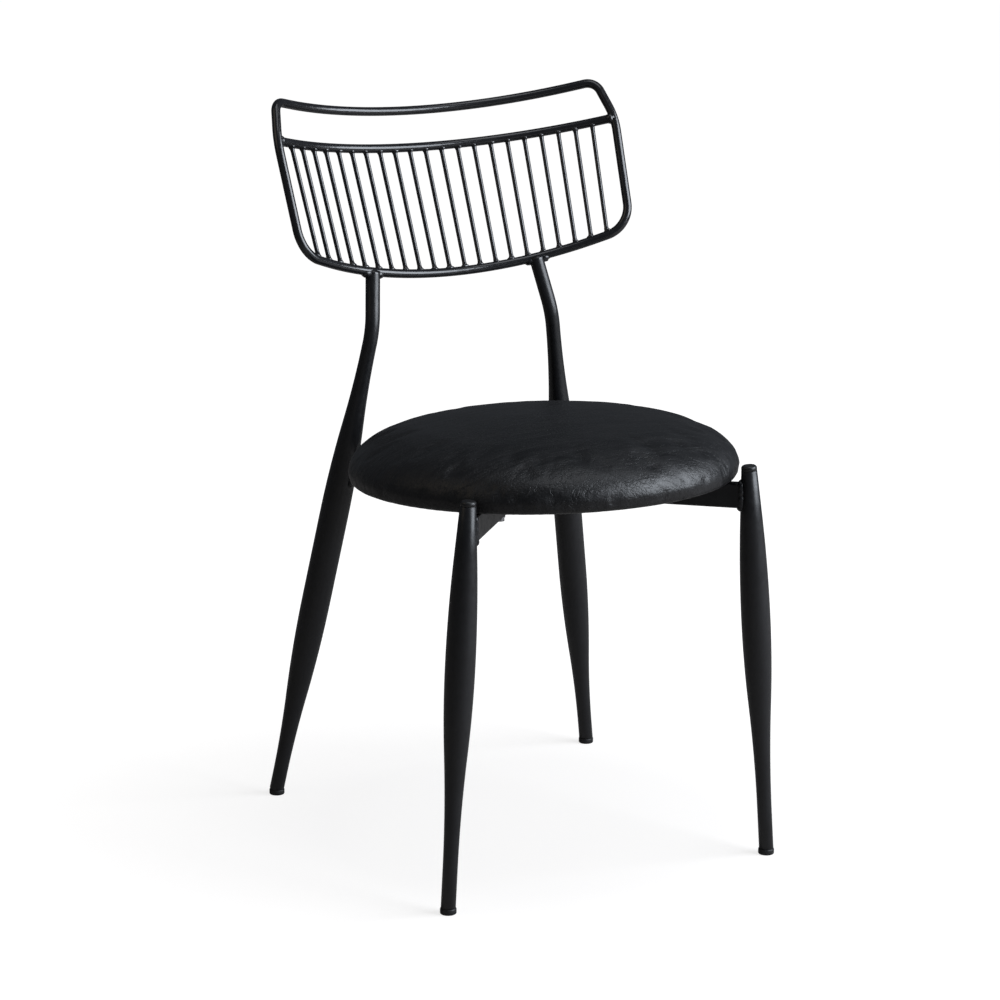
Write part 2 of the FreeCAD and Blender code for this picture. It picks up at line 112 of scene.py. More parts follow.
def in_scene(name, data):
    """A new object in the scene, from a mesh, a lamp or a camera."""
    made = bpy.data.objects.new(name, data)
    bpy.context.scene.collection.objects.link(made)
    return made


def make_piece(name, bm, material, smooth=True):
    """Turn a bmesh into an object in the scene."""
    piece = in_scene(name, mesh_of(name, bm))
    for face in piece.data.polygons:
        face.use_smooth = smooth
    piece.data.materials.append(material)
    return piece


def chair_piece(name, bm, material, slot, *nodes, smooth=True):
    """Make a piece, fix it to the chair and hide the CAD nodes that it stands for."""
    piece = make_piece(name, bm, material, smooth)
    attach(piece, "root")
    if nodes:
        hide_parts(*nodes)
    print(piece.name, len(piece.data.polygons), "faces")
    return piece


# %% [markdown]
# ## A kit for materials
# Every finish on this chair is built from shader nodes, with no pictures. One small class keeps
# those recipes short: it adds a node, joins two sockets, and knows the few patterns that come
# back again and again. All patterns read Object coordinates, so they stay put on every piece.

# %% A small kit for material nodes
class Nodes:
    """The node tree of a material or a world, with short calls to add and join nodes."""

    def __init__(self, owner, shader="Principled BSDF"):
        self.owner = owner
        self.owner.use_nodes = True
        self.tree = owner.node_tree
        self.shader = self.tree.nodes[shader]

    @property
    def coordinates(self):
        """Object coordinates."""
        return self.add("ShaderNodeTexCoord").outputs["Object"]

    def add(self, kind, **settings):
        """Add a node, with plain settings and socket values by name."""
        node = self.tree.nodes.new(kind)
        for key, value in settings.items():
            if key in node.bl_rna.properties:
                setattr(node, key, value)
            else:
                node.inputs[key.replace("_", " ")].default_value = value
        return node

    def join(self, start, end):
        """Join an output to an input."""
        self.tree.links.new(start, end)

    def noise(self, scale, detail=3.0, roughness=0.5, distortion=0.0, vector=None):
        """Noise on Object coordinates; scale counts per metre."""
        node = self.add("ShaderNodeTexNoise", Scale=scale, Detail=detail,
                        Roughness=roughness, Distortion=distortion)
        self.join(vector or self.coordinates, node.inputs["Vector"])
        return node.outputs["Fac"]

    def stretched(self, scale):
        """Object coordinates with its own scale along each axis."""
        node = self.add("ShaderNodeMapping")
        node.inputs["Scale"].default_value = scale
        self.join(self.coordinates, node.inputs["Vector"])
        return node.outputs["Vector"]

    def ramp(self, value, low, high, low_color, high_color):
        """Two colours over a range of a value."""
        node = self.add("ShaderNodeValToRGB")
        stops = node.color_ramp.elements
        stops[0].position, stops[1].position = low, high
        stops[0].color, stops[1].color = (*low_color, 1), (*high_color, 1)
        self.join(value, node.inputs["Fac"])
        return node.outputs["Color"]

    def spread(self, value, low, high, to_low, to_high):
        """Move a value from one range to another."""
        node = self.add("ShaderNodeMapRange", From_Min=low, From_Max=high, To_Min=to_low, To_Max=to_high)
        self.join(value, node.inputs["Value"])
        return node.outputs["Result"]

    def feed(self, sockets, sources):
        """Give each input socket its source, which is another socket or a plain value."""
        for socket, source in zip(sockets, sources):
            if isinstance(source, bpy.types.NodeSocket):
                self.join(source, socket)
            else:
                socket.default_value = source

    def mixed(self, factor, a, b):
        """Mix two colours; each of the three is a socket or a value."""
        node = self.add("ShaderNodeMix", data_type="RGBA")
        self.feed((node.inputs["Factor"], node.inputs[6], node.inputs[7]), (factor, a, b))
        return node.outputs[2]

    def worked(self, operation, *terms):
        """A sum done on values or sockets."""
        node = self.add("ShaderNodeMath", operation=operation)
        self.feed(node.inputs, terms)
        return node.outputs[0]

    def shade(self, **sources):
        """Feed the shader's inputs by name and return the finished material."""
        self.feed([self.shader.inputs[name.replace("_", " ")] for name in sources], sources.values())
        return self.owner

    def bump(self, height, distance, strength=1.0, before=None):
        """Bump from a height, on top of an earlier bump."""
        node = self.add("ShaderNodeBump", Strength=strength, Distance=distance)
        self.join(height, node.inputs["Height"])
        if before is not None:
            self.join(before, node.inputs["Normal"])
        return node.outputs["Normal"]


def new_kit(name):
    """A kit for a new material."""
    return Nodes(bpy.data.materials.new(name))


# %% [markdown]
# ## Powder coat
# The whole frame wears one black powder coat. The powder melts into a skin that is never quite
# level: close up it has a fine orange peel, and here and there a broader ripple. Two noise
# patterns give both, so that long highlights break up softly along a tube. The thin wires come
# out a little glossier than the legs, because their coat lies thinner.

# %% Powder coat material
def powder_coat(name, peel, ripple, smoothest, roughest, gloss):
    """Satin black powder coat; peel and ripple are bump heights in metres."""
    kit = new_kit(name)
    tone = kit.ramp(kit.noise(34, detail=4), 0.3, 0.7, (0.0080, 0.0080, 0.0092), (0.0115, 0.0115, 0.0128))
    shine = kit.spread(kit.noise(160, detail=5), 0.3, 0.7, smoothest, roughest)
    normal = kit.bump(kit.noise(95, detail=2), ripple)
    normal = kit.bump(kit.noise(900, detail=3, roughness=0.6), peel, before=normal)
    return kit.shade(Base_Color=tone, Roughness=shine, Normal=normal, Metallic=0.0, Specular_IOR_Level=gloss)


leg_coat = powder_coat("leg_powder_coat", 0.00003, 0.00025, smoothest=0.30, roughest=0.42, gloss=0.5)
wire_coat = powder_coat("wire_powder_coat", 0.00001, 0.00022, smoothest=0.16, roughest=0.25, gloss=0.65)
rod_coat = powder_coat("rod_powder_coat", 0.00001, 0.00040, smoothest=0.10, roughest=0.17, gloss=0.8)
print("powder coats made")

# %% [markdown]
# ## Black plastic
# The domed plugs in the front legs and the glides under the feet are moulded plastic. A glide
# is scuffed by the floor, so its roughness goes up towards z = 0.

# %% Plastic materials
def moulded_plastic(name, roughness, scuffed):
    """Black moulded plastic with a fine spark texture."""
    kit = new_kit(name)
    tone = kit.ramp(kit.noise(220, detail=4), 0.35, 0.65, (0.008, 0.008, 0.0085), (0.014, 0.014, 0.0145))
    spots = kit.spread(kit.noise(420, detail=5), 0.3, 0.7, roughness - 0.05, roughness + 0.06)
    if scuffed:
        height = kit.add("ShaderNodeSeparateXYZ")
        kit.join(kit.coordinates, height.inputs["Vector"])
        spots = kit.worked("ADD", spots, kit.spread(height.outputs["Z"], 0.0, 0.0025, 0.22, 0.0))
    sparks = kit.bump(kit.noise(1500, detail=3), 0.00003)
    return kit.shade(Base_Color=tone, Roughness=spots, Normal=sparks)


plug_plastic = moulded_plastic("plug_plastic", 0.38, scuffed=False)
glide_plastic = moulded_plastic("glide_plastic", 0.5, scuffed=True)
print("plastics made")

# %% [markdown]
# ## Turned spindles
# Each leg is a tube that swells like a spindle. Its outline is a line from foot to top, made of
# straight runs and soft swells, and `bmesh.ops.spin` carries it round the leg's axis. A full spin
# with use_merge closes the seam.

# %% Outline of a spindle
def swell(start, start_radius, middle, end, end_radius, steps=10):
    """Two arcs, level at both ends, that meet where the swell is steepest."""
    middle_radius = start_radius + (end_radius - start_radius) * (middle - start) / (end - start)
    points = []
    for near, near_radius, sign in ((start, start_radius, 1), (end, end_radius, -1)):
        run = abs(middle - near)
        rise = middle_radius - near_radius
        radius = (run * run + rise * rise) / (2 * rise)
        whole = 2 * math.atan(rise / run)
        turns = [whole * step / steps for step in range(steps + 1)]
        side = [(near_radius + radius * (1 - math.cos(turn)), near + sign * radius * math.sin(turn))
                for turn in turns]
        points += side if sign > 0 else side[::-1][1:]
    return points


FRONT_TIP = 7.9


def front_outline():
    """The front leg from its foot to the plug, as radius and distance from the foot, in mm."""
    foot, belly, tip = FRONT_TIP, 15.75, 8.5
    belly_at, shoulder_length, end = 268.0, 112.0, front_tube_end / MM
    cone = end - belly_at - shoulder_length
    slope = (belly - tip) / (shoulder_length / 2 + cone)
    radius = shoulder_length / slope
    points = [(foot, 6.0)] + swell(50.0, foot, 172.0, belly_at, belly)
    for step in range(1, 11):
        along = shoulder_length * step / 10
        points.append((belly - radius + math.sqrt(radius * radius - along * along), belly_at + along))
    return points + [(tip, end)]


front_way = (FRONT_TOP - FRONT_FOOT).normalized()
front_length = (FRONT_TOP - FRONT_FOOT).length
front_tube_end = front_length - 5.5 * MM


def spun(outline, steps=56):
    """A closed turned form on +Z from radius and height pairs in metres."""
    bm = bmesh.new()
    verts = [bm.verts.new((radius, 0, height)) for radius, height in outline]
    edges = [bm.edges.new(pair) for pair in zip(verts, verts[1:])]
    bmesh.ops.spin(bm, geom=verts + edges, cent=(0, 0, 0), axis=(0, 0, 1),
                   angle=math.tau, steps=steps, use_merge=True)
    settle(bm)
    return bm


def stand_along(bm, start, way):
    """Carry a form from +Z to a start point and a direction."""
    turn = way.to_track_quat("Z", "Y").to_matrix().to_4x4()
    bmesh.ops.transform(bm, matrix=Matrix.Translation(start) @ turn, verts=bm.verts)


SIDES = {"left": -1, "right": 1}


def on_side(bm, side):
    """A form as it is made, for the chair's right, or its mirror image, for the left."""
    if side < 0:
        bmesh.ops.scale(bm, vec=(-1, 1, 1), verts=bm.verts)
        bmesh.ops.reverse_faces(bm, faces=bm.faces)
    return bm


# %% [markdown]
# ## Front legs
# The leg's lower end stands on its glide and its upper end is closed by a plug, so both ends get
# a small rolled rim. The rim catches the light as the cut edge of the real tube does.

# %% Front legs and their plugs
def front_leg():
    """A front leg's tube with its two rims."""
    outline = [(radius * MM, along * MM) for radius, along in front_outline()]
    (foot, low), (tip, high) = outline[0], outline[-1]
    low_rim, high_rim = 0.6 * MM, 0.35 * MM
    outline[:1] = [(0, low), (foot - low_rim, low), (foot, low + low_rim)]
    outline[-1:] = [(tip, high - high_rim), (tip - high_rim, high), (0, high)]
    bm = spun(outline)
    stand_along(bm, FRONT_FOOT, front_way)
    return bm


def plug():
    """Domed plug with a soft edge and a fine gap line under it."""
    radius, height, edge = 8.45 * MM, 5.5 * MM, 3.0 * MM
    outline = [(0, -4 * MM), (radius - 0.9 * MM, -4 * MM), (radius - 0.9 * MM, 0.12 * MM), (radius, 0.3 * MM)]
    corner = [polar(radius - edge, height - edge, edge, angle) for angle in range(0, 91, 10)]
    outline += [(point.x, point.z) for point in corner]
    outline += [(0.5 * radius, height + 0.05 * MM), (0, height + 0.08 * MM)]
    bm = spun(outline, steps=48)
    stand_along(bm, FRONT_FOOT + front_way * front_tube_end, front_way)
    return bm


def combined(*forms):
    """Several forms in one bmesh."""
    whole = bmesh.new()
    for form in forms:
        mesh = mesh_of("form", form)
        whole.from_mesh(mesh)
        bpy.data.meshes.remove(mesh)
    return whole


def both_sides(make, *sizes):
    """The left and the right copy of a form, in one bmesh."""
    return combined(*(on_side(make(*sizes), side) for side in SIDES.values()))


for word, side in SIDES.items():
    chair_piece("front_leg_tube_" + word, on_side(front_leg(), side), leg_coat, "frame", "front_leg_" + word)
chair_piece("front_leg_plugs", both_sides(plug), plug_plastic, "plug", "front_leg_caps")

# %% [markdown]
# ## Sweeping a round section
# Rear legs, wires and rods are all a round section carried along a line. The helper starts from
# one circle, extrudes its rim to the next place, and turns and scales the new ring to fit. The
# ring is turned by the smallest turn between two directions, so the skin never twists.

# %% Sweep helper
def swept(points, radii, sides, closed=False):
    """A tube through points, with its own radius at each of them."""
    count = len(points)
    ways = []
    for index in range(count):
        before = points[index - 1] if index or closed else points[0]
        after = points[(index + 1) % count] if index < count - 1 or closed else points[-1]
        ways.append((after - before).normalized())
    bm = bmesh.new()
    bmesh.ops.create_circle(bm, segments=sides, radius=radii[0])
    stand_along(bm, points[0], ways[0])
    rim = list(bm.edges)
    first_rim = rim[:]
    for index in range(1, count):
        grown = bmesh.ops.extrude_edge_only(bm, edges=rim)["geom"]
        ring = [item for item in grown if isinstance(item, bmesh.types.BMVert)]
        rim = [item for item in grown if isinstance(item, bmesh.types.BMEdge)
               and all(vert in ring for vert in item.verts)]
        bend = ways[index - 1].rotation_difference(ways[index]).to_matrix().to_4x4()
        size = Matrix.Scale(radii[index] / radii[index - 1], 4)
        move = Matrix.Translation(points[index]) @ bend @ size @ Matrix.Translation(-points[index - 1])
        bmesh.ops.transform(bm, matrix=move, verts=ring)
    if closed:
        bmesh.ops.bridge_loops(bm, edges=first_rim + rim)
    else:
        bmesh.ops.holes_fill(bm, edges=first_rim + rim, sides=sides)
    settle(bm)
    return bm


def arc_centre(a, b, c):
    """Centre and axis of the arc from a to c by way of b."""
    span, reach = b - a, c - a
    normal = span.cross(reach)
    shift = normal.cross(span) * reach.length_squared + reach.cross(normal) * span.length_squared
    return a + shift / (2 * normal.length_squared), normal.normalized()


def arc_points(a, b, c, steps):
    """Points on the arc from a to c by way of b."""
    centre, axis = arc_centre(a, b, c)
    whole = (a - centre).angle(b - centre) + (b - centre).angle(c - centre)
    return [centre + Quaternion(axis, whole * step / steps) @ (a - centre) for step in range(steps + 1)]


def corner_arc(before, vertex, after, radius):
    """Start, middle and end of the arc that rounds a corner."""
    a, b = (before - vertex).normalized(), (after - vertex).normalized()
    half = a.angle(b) / 2
    reach = radius / math.tan(half)
    middle = vertex + (a + b).normalized() * (radius / math.sin(half) - radius)
    return vertex + a * reach, middle, vertex + b * reach


# %% [markdown]
# ## The back's surface
# The wire back is bent over one cylinder that leans backwards. A place on it is given as a
# distance round from the middle and a height above the mid rail, as a bender marks out a wire.

# %% Places on the back
BACK_RADIUS = 341.5
BACK_LEAN = math.radians(25.9)
RAIL_RADIUS = 5 * MM
ROD_RADIUS = 2.45
GRIP_HEIGHT, PANEL_HEIGHT = 43.6, 148.1
BOTTOM_RISE, MID_DROP = 17.2, 3.5
TOP_AT, KINK_AT, BOTTOM_AT = 211.5, 225.0, 216.0
MID_RAIL_Y, MID_RAIL_Z = 231.0, 733.4


def on_back(around, height):
    """A place on the leaning cylinder, from mm round it and mm above the mid rail."""
    angle = around / BACK_RADIUS
    forward = BACK_RADIUS * (1 - math.cos(angle))
    y = MID_RAIL_Y + height * math.sin(BACK_LEAN) - forward * math.cos(BACK_LEAN)
    z = MID_RAIL_Z + height * math.cos(BACK_LEAN) + forward * math.sin(BACK_LEAN)
    return place(BACK_RADIUS * math.sin(angle), y, z)


class Rail:
    """A rail's arc through its two ends and its middle."""

    def __init__(self, middle_height, end_at, end_height):
        right = on_back(end_at, end_height)
        self.middle = on_back(0, middle_height)
        self.centre, self.axis = arc_centre(on_back(-end_at, end_height), self.middle, right)
        self.radius = (self.middle - self.centre).length
        self.half = self.radius * (self.middle - self.centre).angle(right - self.centre)

    def at(self, distance):
        """A point at a distance in mm from the middle."""
        turn = Quaternion(self.axis, distance * MM / self.radius)
        return self.centre + turn @ (self.middle - self.centre)

    def way(self, distance):
        """The rail's direction there, towards the chair's right."""
        return self.axis.cross(self.at(distance) - self.centre).normalized()


top_rail = Rail(GRIP_HEIGHT, TOP_AT, GRIP_HEIGHT)
mid_rail = Rail(0, KINK_AT, -MID_DROP)
bottom_rail = Rail(-PANEL_HEIGHT, BOTTOM_AT, BOTTOM_RISE - PANEL_HEIGHT)
print("rail radii", [round(rail.radius, 4) for rail in (top_rail, mid_rail, bottom_rail)])

# %% [markdown]
# ## Rear legs
# A rear leg is one tube: a spindle up to just above the seat, then a gentle bend inwards, then a
# slim post that meets the bottom rail. The radius along its line comes from the same swells as
# in the front leg. The post's front wall laps a little up the rail.

# %% Rear legs
POST_RADIUS, POST_AT = 8.1, 103.7
REAR_TIP, REAR_BELLY = 8.2, 16.2
post_end = bottom_rail.at(POST_AT)
rear_way = (REAR_BEND - REAR_FOOT).normalized()
rear_corner = corner_arc(REAR_FOOT, REAR_BEND, post_end, REAR_BEND_RADIUS)


def rear_swells():
    """The rear leg's radius along its straight part, up and down again, in mm."""
    return swell(25.0, REAR_TIP, 125.0, 240.0, REAR_BELLY) + [(REAR_BELLY, 274.0), (REAR_BELLY, 309.0)] \
        + swell(343.0, REAR_BELLY, 455.0, 544.0, POST_RADIUS)


def rear_leg():
    """One tube from the glide to the bottom rail."""
    straight = (rear_corner[0] - REAR_FOOT).length / MM
    outline = [(REAR_TIP - 0.6, 6.0), (REAR_TIP, 6.6)] + rear_swells()
    outline = [pair for pair in outline if pair[1] < straight - 2] + [(POST_RADIUS, straight)]
    points = [REAR_FOOT + rear_way * (along * MM) for _, along in outline]
    radii = [radius * MM for radius, _ in outline]
    bend = arc_points(*rear_corner, 24)[1:]
    post_way = (post_end - rear_corner[2]).normalized()
    post = [rear_corner[2].lerp(post_end, share) for share in (0.25, 0.5, 0.75, 0.9)]
    post.append(post_end + post_way * 0.5 * MM)
    points += bend + post
    radii += [POST_RADIUS * MM] * (len(bend) + len(post))
    return swept(points, radii, sides=56)


for word, side in SIDES.items():
    chair_piece("rear_leg_tube_" + word, on_side(rear_leg(), side), leg_coat, "frame", "rear_leg_" + word)

# %% [markdown]
# ## The outer wire
# One wire is bent into a closed loop. Its line is half worked out, from the middle of the top
# rail to the middle of the bottom rail, and the other half is its mirror image.

# %% The loop
def straight_points(a, b, steps):
    """Evenly spaced points from a to b."""
    return [a.lerp(b, step / steps) for step in range(steps + 1)]


TOP_REACH, BOTTOM_REACH = 24 * MM, 40 * MM
top_stop_at = top_rail.half / MM - TOP_REACH / MM
low_stop_at = bottom_rail.half / MM - BOTTOM_REACH / MM
top_stop, low_stop = top_rail.at(top_stop_at), bottom_rail.at(low_stop_at)
top_vertex = top_stop + top_rail.way(top_stop_at) * TOP_REACH
low_vertex = low_stop + bottom_rail.way(low_stop_at) * BOTTOM_REACH
kink_vertex = on_back(KINK_AT, -MID_DROP)
top_bend = corner_arc(top_stop, top_vertex, kink_vertex, 17 * MM)
kink_bend = corner_arc(top_vertex, kink_vertex, low_vertex, 90 * MM)
low_bend = corner_arc(kink_vertex, low_vertex, low_stop, 34 * MM)


def loop_line():
    """All points of the closed outer wire."""
    half = [top_rail.at(top_stop_at * step / 26) for step in range(27)]
    reached = top_stop
    for bend, run_steps, turn_steps in ((top_bend, 2, 16), (kink_bend, 3, 10), (low_bend, 8, 20)):
        half += straight_points(reached, bend[0], run_steps)[1:-1] + arc_points(*bend, turn_steps)
        reached = bend[2]
    half += straight_points(reached, low_stop, 3)[1:-1]
    half += [bottom_rail.at(low_stop_at * (1 - step / 26)) for step in range(27)]
    mirrored = [Vector((-point.x, point.y, point.z)) for point in half[::-1][1:-1]]
    return half + mirrored


loop = loop_line()
outer_form = swept(loop, [RAIL_RADIUS] * len(loop), sides=28, closed=True)
chair_piece("outer_wire", outer_form, wire_coat, "frame", "back_frame")

mid_end = mid_rail.half / MM
mid_line = [mid_rail.at(mid_end * (step / 40 - 1)) for step in range(81)]
mid_form = swept(mid_line, [RAIL_RADIUS] * len(mid_line), sides=28)
chair_piece("mid_wire", mid_form, wire_coat, "frame", "mid_rail")

# %% [markdown]
# ## Rods and their welds
# The thin rods stand between the mid rail and the bottom rail. Each one is welded at both ends,
# so it flares into a small bead there: the sweep's radius simply grows over the last few
# millimetres, a little differently on each rod, as a welder's hand leaves it.

# %% Rods
ROD_COUNT = 21
LOW_STEP, HIGH_STEP = 18.9, 19.8


def rod_line(index):
    """Where a rod meets each rail, and the rails' directions there."""
    step = index - (ROD_COUNT - 1) / 2
    low, high = step * LOW_STEP, step * HIGH_STEP
    return bottom_rail.at(low), mid_rail.at(high), bottom_rail.way(low), mid_rail.way(high)


def uneven(seed, amount):
    """A steady, repeatable difference between pieces."""
    return amount * noise.noise(Vector((seed * 1.7, 3.1, 0.4)))


def lump(centre, way, length, radius, seed):
    """A rounded, slightly uneven drop of weld metal, longer along the rail."""
    bm = bmesh.new()
    bmesh.ops.create_icosphere(bm, subdivisions=3, radius=1)
    bmesh.ops.scale(bm, vec=(radius, radius, length), verts=bm.verts)
    for vert in bm.verts:
        vert.co *= 1 + 0.16 * noise.noise(vert.co * 320 + Vector((seed, 0, 0)))
    stand_along(bm, centre, way)
    return bm


def rod(index):
    """A rod with its flared ends and the drops of metal that its welds leave on the two rails."""
    foot, top, low_rail, high_rail = rod_line(index)
    way = (top - foot).normalized()
    length = (top - foot).length
    flare = 3.7 + uneven(index + 5, 0.8)
    stations = [(3.2, flare), (4.8, flare - 0.2), (5.7, flare - 0.7), (6.9, 2.85), (8.2, 2.6),
                (9.6, ROD_RADIUS)]
    flare_top = 3.3 + uneven(index + 40, 0.7)
    top_stations = [(9.4, ROD_RADIUS), (8.0, 2.52), (6.9, 2.7),
                    (5.9, flare_top - 0.5), (4.9, flare_top), (3.2, flare_top)]
    points = [foot + way * along * MM for along, _ in stations]
    points += [foot + way * length * share for share in (0.3, 0.5, 0.7)]
    points += [top - way * along * MM for along, _ in top_stations]
    radii = [radius * MM for radius in
             [radius for _, radius in stations] + [ROD_RADIUS] * 3 + [radius for _, radius in top_stations]]
    front = way.cross(high_rail).normalized()
    front = front if front.y < 0 else -front
    low_drop = lump(foot + way * 4.4 * MM + front * 1.0 * MM + low_rail * uneven(index + 9, 2.0) * MM,
                    low_rail, (4.2 + uneven(index + 3, 1.6)) * MM, 2.5 * MM, index * 1.3)
    high_drop = lump(top - way * 3.9 * MM + front * 2.2 * MM + high_rail * uneven(index + 70, 2.0) * MM,
                     high_rail, (3.3 + uneven(index + 60, 1.2)) * MM, 2.4 * MM, index * 2.1 + 5)
    return combined(swept(points, radii, sides=16), low_drop, high_drop)


for index in range(ROD_COUNT):
    number = "%02d" % (index + 1)
    chair_piece("rod_" + number, rod(index), rod_coat, "frame", "back_rod_" + number)

# %% [markdown]
# ## The camera
# The photograph was taken from a little above the seat, to the chair's left, with a long lens.

# %% Camera
camera_data = bpy.data.cameras.new("camera")
camera_data.lens = 116.54
camera_data.sensor_width = 36
camera_data.clip_end = 50
camera = in_scene("camera", camera_data)
camera.location = (-1.5969, -3.0411, 1.2450)
turn_down, turn_side = math.radians(90 - 14.22), math.radians(-27.31)
camera.rotation_euler = (turn_down, 0, turn_side)
bpy.context.scene.camera = camera
print("camera at", tuple(round(v, 3) for v in camera.location))

# %% [markdown]
# ## Under the seat
# Two flat tubes cross under the seat and join each front leg to the rear leg on the other side.
# They are laid out in the seat's own frame, which leans back by three degrees. A beveled cube is
# enough for a tube that is closed by the legs at both ends.

# %% Crossed tubes
SEAT_TILT = math.radians(3.0)
SEAT_Y, SEAT_HEIGHT = -57.5, 408.0
seat_frame = Matrix.Translation(place(0, SEAT_Y, SEAT_HEIGHT - SEAT_Y * math.tan(SEAT_TILT))) \
    @ Matrix.Rotation(-SEAT_TILT, 4, "X")
BAR_WIDTH, BAR_HEIGHT, BAR_CORNER = 13 * MM, 27 * MM, 2 * MM


def meets_seat(start, end):
    """Where a leg's line passes the seat's plane, in the seat's frame."""
    inside = seat_frame.inverted()
    a, b = inside @ start, inside @ end
    return a.lerp(b, -a.z / (b.z - a.z))


front_meet = meets_seat(FRONT_FOOT, FRONT_TOP)
rear_meet = meets_seat(REAR_FOOT, REAR_BEND)
bar_way = Vector((rear_meet.x + front_meet.x, rear_meet.y - front_meet.y, 0))
BAR_LENGTH = bar_way.length
crossing = Vector((0, front_meet.y + bar_way.y * front_meet.x / bar_way.x, 0))
to_crossing = (crossing - Vector((-front_meet.x, front_meet.y, 0))).length
bar_turn = -math.atan2(bar_way.x, bar_way.y)


def bar_frame(turn):
    """A bar's own frame: the crossing is its origin, and the bar runs along its Y axis."""
    return seat_frame @ Matrix.Translation(crossing) @ Matrix.Rotation(turn, 4, "Z")


def bar(turn, start, end):
    """A tube with rounded corners; its top face is level with the seat's underside."""
    bm = bmesh.new()
    bmesh.ops.create_cube(bm, size=1)
    bmesh.ops.scale(bm, vec=(BAR_WIDTH, end - start, BAR_HEIGHT), verts=bm.verts)
    bmesh.ops.translate(bm, vec=(0, (start + end) / 2, -BAR_HEIGHT / 2), verts=bm.verts)
    long_edges = [edge for edge in bm.edges if abs(edge.verts[0].co.y - edge.verts[1].co.y) > 0.01]
    bmesh.ops.bevel(bm, geom=long_edges, offset=BAR_CORNER, offset_type="OFFSET", segments=5,
                    profile=0.5, affect="EDGES", material=-1)
    bmesh.ops.transform(bm, matrix=bar_frame(turn), verts=bm.verts)
    settle(bm)
    return bm


reach_front, reach_rear = -to_crossing + 3 * MM, BAR_LENGTH - to_crossing - 3 * MM
halves_gap = BAR_WIDTH / 2 / math.sin(2 * abs(bar_turn)) - 1 * MM
for word, turn, start, end in (("through", bar_turn, reach_front, reach_rear),
                               ("front_half", -bar_turn, reach_front, -halves_gap),
                               ("rear_half", -bar_turn, halves_gap, reach_rear)):
    chair_piece("bar_" + word, bar(turn, start, end), leg_coat, "frame", "seat_bar_" + word, smooth=False)

# %% [markdown]
# ## Weld beads
# Where a tube meets a leg the welder runs a bead round the joint. The bead's line is the tube's
# outline laid on the round leg. A swept section follows it, and its radius wanders a little with
# noise, because a hand-made bead is never even.

# %% Beads between bars and legs
def leg_radius(outline, along):
    """The leg's radius at a distance from its foot, from its outline in mm."""
    for (r0, a0), (r1, a1) in zip(outline, outline[1:]):
        if a0 <= along <= a1 and a1 > a0:
            return r0 + (r1 - r0) * (along - a0) / (a1 - a0)
    return outline[-1][0]


front_radii = front_outline()
rear_radii = [(REAR_TIP, 6.0)] + rear_swells()


def on_leg(start, direction, foot, way, outline, lift):
    """Go along a direction until the leg's surface, raised by lift, is met."""
    radius = 12 * MM
    for _ in range(4):
        across = start - foot
        across -= way * across.dot(way)
        flat = direction - way * direction.dot(way)
        a, b, c = flat.dot(flat), 2 * across.dot(flat), across.dot(across) - radius * radius
        root = b * b - 4 * a * c
        travel = (-b - math.sqrt(max(root, 0))) / (2 * a)
        hit = start + direction * travel
        radius = (leg_radius(outline, (hit - foot).dot(way) / MM) + lift) * MM
    return hit


def bar_bead(turn, to_front, side, seed):
    """Bead round a bar's end on the leg that it meets."""
    matrix = bar_frame(turn)
    sign = -1 if to_front else 1
    front, rear = (FRONT_FOOT, front_way, front_radii), (REAR_FOOT, rear_way, rear_radii)
    foot, way, outline = front if to_front else rear
    if side < 0:
        foot, way = Vector((-foot.x, foot.y, foot.z)), Vector((-way.x, way.y, way.z))
    direction = (matrix.to_3x3() @ Vector((0, sign, 0))).normalized()
    reach = -to_crossing if to_front else BAR_LENGTH - to_crossing
    half_w, half_h, corner = BAR_WIDTH / 2, BAR_HEIGHT / 2, BAR_CORNER
    line = []
    for cx, cz, first in ((1, 1, 0), (-1, 1, 90), (-1, -1, 180), (1, -1, 270)):
        for angle in range(first, first + 91, 30):
            x = cx * (half_w - corner) + (corner + 0.3 * MM) * math.cos(math.radians(angle))
            z = cz * (half_h - corner) + (corner + 0.3 * MM) * math.sin(math.radians(angle))
            line.append((x, z - half_h))
    full = []
    for index, (x, z) in enumerate(line):
        nx, nz = line[(index + 1) % len(line)]
        steps = max(1, int(math.hypot(nx - x, nz - z) / (1.6 * MM)))
        full += [(x + (nx - x) * step / steps, z + (nz - z) * step / steps) for step in range(steps)]
    points = []
    for x, z in full:
        start = matrix @ Vector((x, reach - sign * 40 * MM, z))
        points.append(on_leg(start, direction, foot, way, outline, 0.5))
    size = 3.1 if to_front else 2.6
    radii = [(size + 0.8 * noise.noise(point * 260 + Vector((seed, 0, 0)))) * MM for point in points]
    return swept(points, radii, sides=12, closed=True)


beads = [bar_bead(bar_turn, True, -1, 1.0), bar_bead(bar_turn, False, 1, 2.0),
         bar_bead(-bar_turn, True, 1, 3.0), bar_bead(-bar_turn, False, -1, 4.0)]
chair_piece("bar_welds", combined(*beads), leg_coat, "frame")

# %% [markdown]
# A post ends under the bottom rail. The welder fills the open end of the tube and runs metal out
# along the rail on both sides, so the joint is a rounded head with a lump left and right.

# %% Heads of the posts
def post_head():
    """Rounded head of the post with its two lumps."""
    way = (post_end - rear_corner[2]).normalized()
    stations = [(-5.0, 7.88), (-3.6, 8.15), (-2.2, 8.2), (-1.0, 7.9),
                (0.2, 7.2), (1.2, 6.1), (2.0, 4.6), (2.5, 2.6)]
    points = [post_end + way * along * MM for along, _ in stations]
    head = swept(points, [radius * MM for _, radius in stations], sides=40)
    along_rail = bottom_rail.way(POST_AT)
    forms = [head]
    for sign, length, radius in ((-1, 7.5, 5.0), (1, 8.0, 5.4)):
        centre = post_end + along_rail * sign * 8.0 * MM - way * 2.4 * MM
        forms.append(lump(centre, along_rail, length * MM, radius * MM, 7.0 * sign))
    return combined(*forms)


